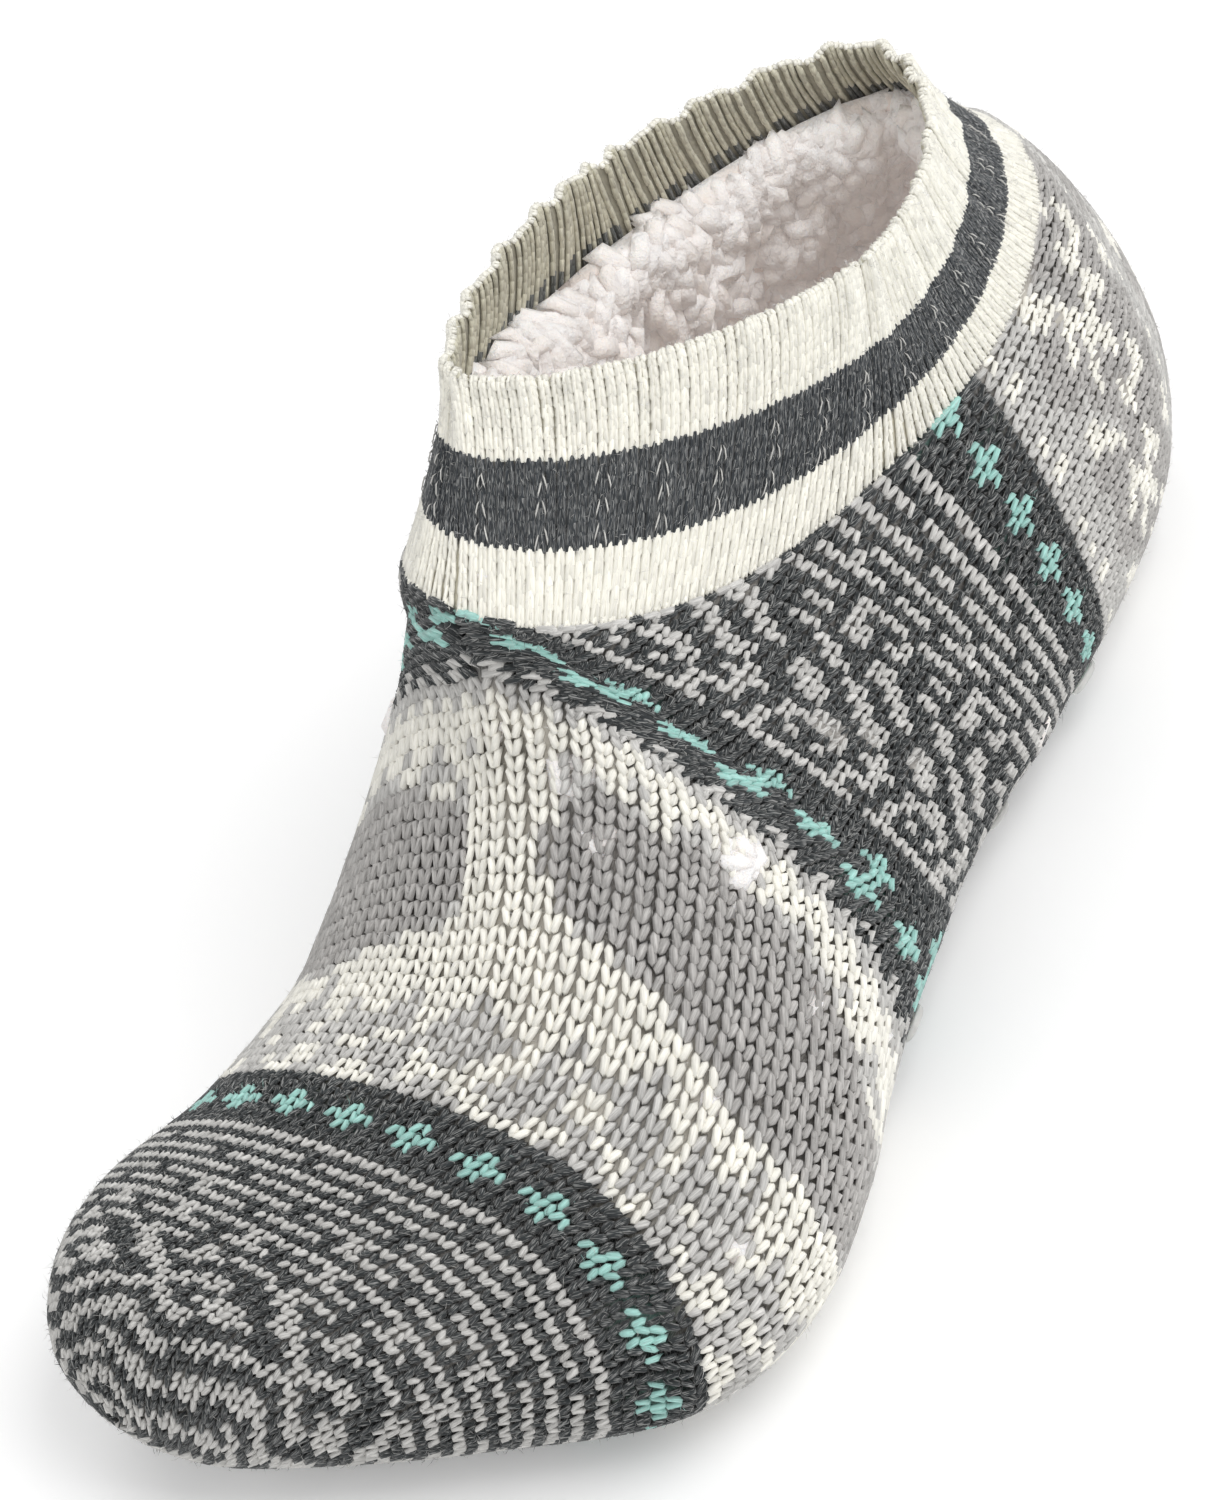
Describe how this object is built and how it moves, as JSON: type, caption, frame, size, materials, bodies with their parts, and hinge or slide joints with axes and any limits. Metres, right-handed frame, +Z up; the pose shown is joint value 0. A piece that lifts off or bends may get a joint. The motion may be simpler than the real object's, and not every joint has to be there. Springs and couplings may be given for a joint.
{
  "type": "slipper sock",
  "caption": "Low knitted slipper sock with a ribbed collar, a deep fleece lining and raised grip dots under the sole, in a traditional banded colourwork.",
  "frame": {"origin": "on the floor under the middle of the slipper's box, where its grip dots stand", "axes": "+X towards the toe, +Z up, +Y to the wearer's left, which is the little-toe side"},
  "size_m": [0.25, 0.1082, 0.1224],
  "materials": {
    "knit": "soft marled stockinette knit with bands of grey, cream, charcoal and pale aqua stitches",
    "cuff": "fine one-by-one ribbed knit in cream with a charcoal band",
    "fleece": "curly sherpa pile, matte",
    "grip": "clear soft silicone, half gloss"
  },
  "bodies": {
    "root": {"knit_foot": "knit", "rib_cuff": "cuff", "fleece_lining": "fleece", "grip_dot_01": "grip", "grip_dot_02": "grip", "grip_dot_03": "grip", "grip_dot_04": "grip", "grip_dot_05": "grip", "grip_dot_06": "grip", "grip_dot_07": "grip", "grip_dot_08": "grip", "grip_dot_09": "grip", "grip_dot_10": "grip", "grip_dot_11": "grip", "grip_dot_12": "grip", "grip_dot_13": "grip", "grip_dot_14": "grip", "grip_dot_15": "grip", "grip_dot_16": "grip", "grip_dot_17": "grip", "grip_dot_18": "grip", "grip_dot_19": "grip", "grip_dot_20": "grip", "grip_dot_21": "grip", "grip_dot_22": "grip", "grip_dot_23": "grip", "grip_dot_24": "grip", "grip_dot_25": "grip", "grip_dot_26": "grip", "grip_dot_27": "grip", "grip_dot_28": "grip", "grip_dot_29": "grip", "grip_dot_30": "grip", "grip_dot_31": "grip", "grip_dot_32": "grip", "grip_dot_33": "grip", "grip_dot_34": "grip", "grip_dot_35": "grip", "grip_dot_36": "grip", "grip_dot_37": "grip", "grip_dot_38": "grip", "grip_dot_39": "grip", "grip_dot_40": "grip", "grip_dot_41": "grip", "grip_dot_42": "grip", "grip_dot_43": "grip", "grip_dot_44": "grip", "grip_dot_45": "grip", "grip_dot_46": "grip", "grip_dot_47": "grip", "grip_dot_48": "grip", "grip_dot_49": "grip", "grip_dot_50": "grip", "grip_dot_51": "grip", "grip_dot_52": "grip", "grip_dot_53": "grip", "grip_dot_54": "grip", "grip_dot_55": "grip", "grip_dot_56": "grip"}
  },
  "joints": []
}
